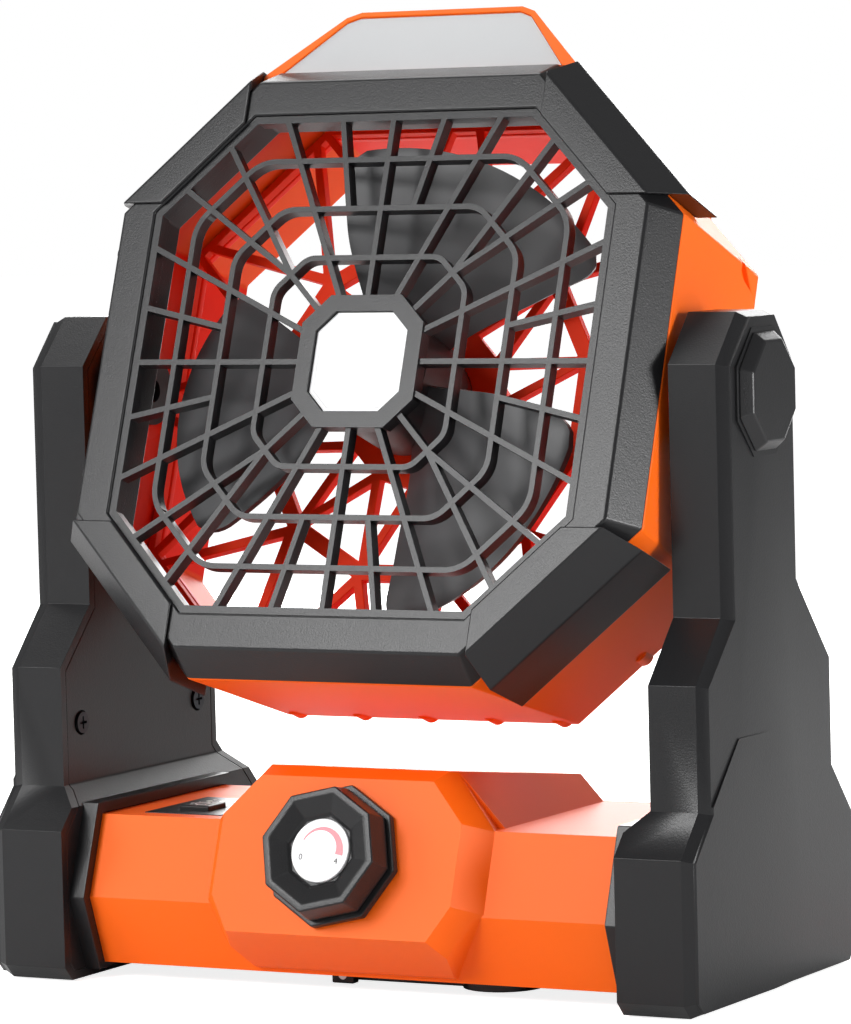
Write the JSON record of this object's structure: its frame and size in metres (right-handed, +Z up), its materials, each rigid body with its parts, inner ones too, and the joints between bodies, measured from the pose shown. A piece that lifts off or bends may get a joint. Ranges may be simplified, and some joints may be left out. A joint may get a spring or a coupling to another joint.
{
  "type": "portable camping fan",
  "caption": "Battery camping fan with an octagonal tilting head and top lamp between two legs on a box base with a speed knob.",
  "frame": {"origin": "on the ground in the middle of the width and depth", "axes": "+Z up, -Y the way the fan blows, +X to the right seen from the front"},
  "size_m": [0.21, 0.1214, 0.2502],
  "materials": {
    "black_plastic": "fine matte moulded texture",
    "orange_plastic": "satin moulded",
    "red_plastic": "satin moulded",
    "smoke_plastic": "smoke tinted",
    "rubber": "matte",
    "zinc_steel": "zinc plated",
    "motor_case": "drawn steel can",
    "nylon": "natural nylon",
    "white_plastic": "satin",
    "light_pipe": "translucent",
    "lamp_lens": "frosted translucent",
    "cell_wrap": "shrink wrap",
    "board": "green solder mask"
  },
  "bodies": {
    "stand": {"base_housing": "orange_plastic", "base_bottom_cover": "black_plastic", "left_leg_shell": "black_plastic", "right_leg_shell": "black_plastic", "left_leg_cover": "black_plastic", "right_leg_cover": "black_plastic", "left_pivot_cap": "black_plastic", "right_pivot_cap": "black_plastic", "left_pivot_bush": "nylon", "right_pivot_bush": "nylon", "leg_screws": "zinc_steel", "bottom_cover_screws": "zinc_steel", "rubber_feet": "rubber", "knob_base": "black_plastic", "rotary_switch": "black_plastic", "control_panel": "black_plastic", "charge_lights": "light_pipe", "panel_board": "board", "button_switch": "zinc_steel", "front_battery_cell": "cell_wrap", "rear_battery_cell": "cell_wrap", "battery_holder": "black_plastic", "control_board": "board", "charging_port": "zinc_steel", "port_board": "board", "hook_pin": "zinc_steel"},
    "head": {"left_pivot_shaft": "nylon", "right_pivot_shaft": "nylon", "left_friction_washer": "rubber", "right_friction_washer": "rubber", "left_pivot_nut": "zinc_steel", "right_pivot_nut": "zinc_steel", "front_bezel": "black_plastic", "rear_housing": "orange_plastic", "top_left_corner_guard": "black_plastic", "top_right_corner_guard": "black_plastic", "bottom_left_corner_guard": "black_plastic", "bottom_right_corner_guard": "black_plastic", "front_grille": "black_plastic", "grille_badge": "white_plastic", "rear_grille": "red_plastic", "fan_motor": "motor_case", "motor_screws": "zinc_steel", "housing_screws": "zinc_steel", "lamp_housing": "orange_plastic", "lamp_lens": "lamp_lens", "lamp_board": "board"},
    "rotor": {"motor_shaft": "zinc_steel", "fan_rotor": "smoke_plastic"},
    "knob": {"speed_knob": "black_plastic", "knob_dial": "white_plastic", "switch_shaft": "nylon"},
    "button": {"light_button": "black_plastic"},
    "hook": {"hanging_hook": "black_plastic"}
  },
  "joints": [
    {"name": "head_tilt", "type": "hinge", "parent": "stand", "child": "head", "pos_m": [0, -0.00326, 0.1518], "axis": [-1, 0, 0], "range_deg": [-35, 70]},
    {"name": "fan_spin", "type": "hinge", "parent": "head", "child": "rotor", "pos_m": [0, -0.00326, 0.1518], "axis": [0, -0.9397, 0.342], "continuous": true},
    {"name": "knob_turn", "type": "hinge", "parent": "stand", "child": "knob", "pos_m": [0, -0.04556, 0.0361], "axis": [0, 0.9397, -0.342], "range_deg": [0, 270]},
    {"name": "light_button_press", "type": "slide", "parent": "stand", "child": "button", "axis": [0, 0, -1], "range_m": [0, 0.0008], "stiffness_N_per_m": 600},
    {"name": "hook_fold", "type": "hinge", "parent": "stand", "child": "hook", "pos_m": [-0.009, -0.02026, 0.003], "axis": [0, 1, 0], "range_deg": [0, 90]}
  ]
}
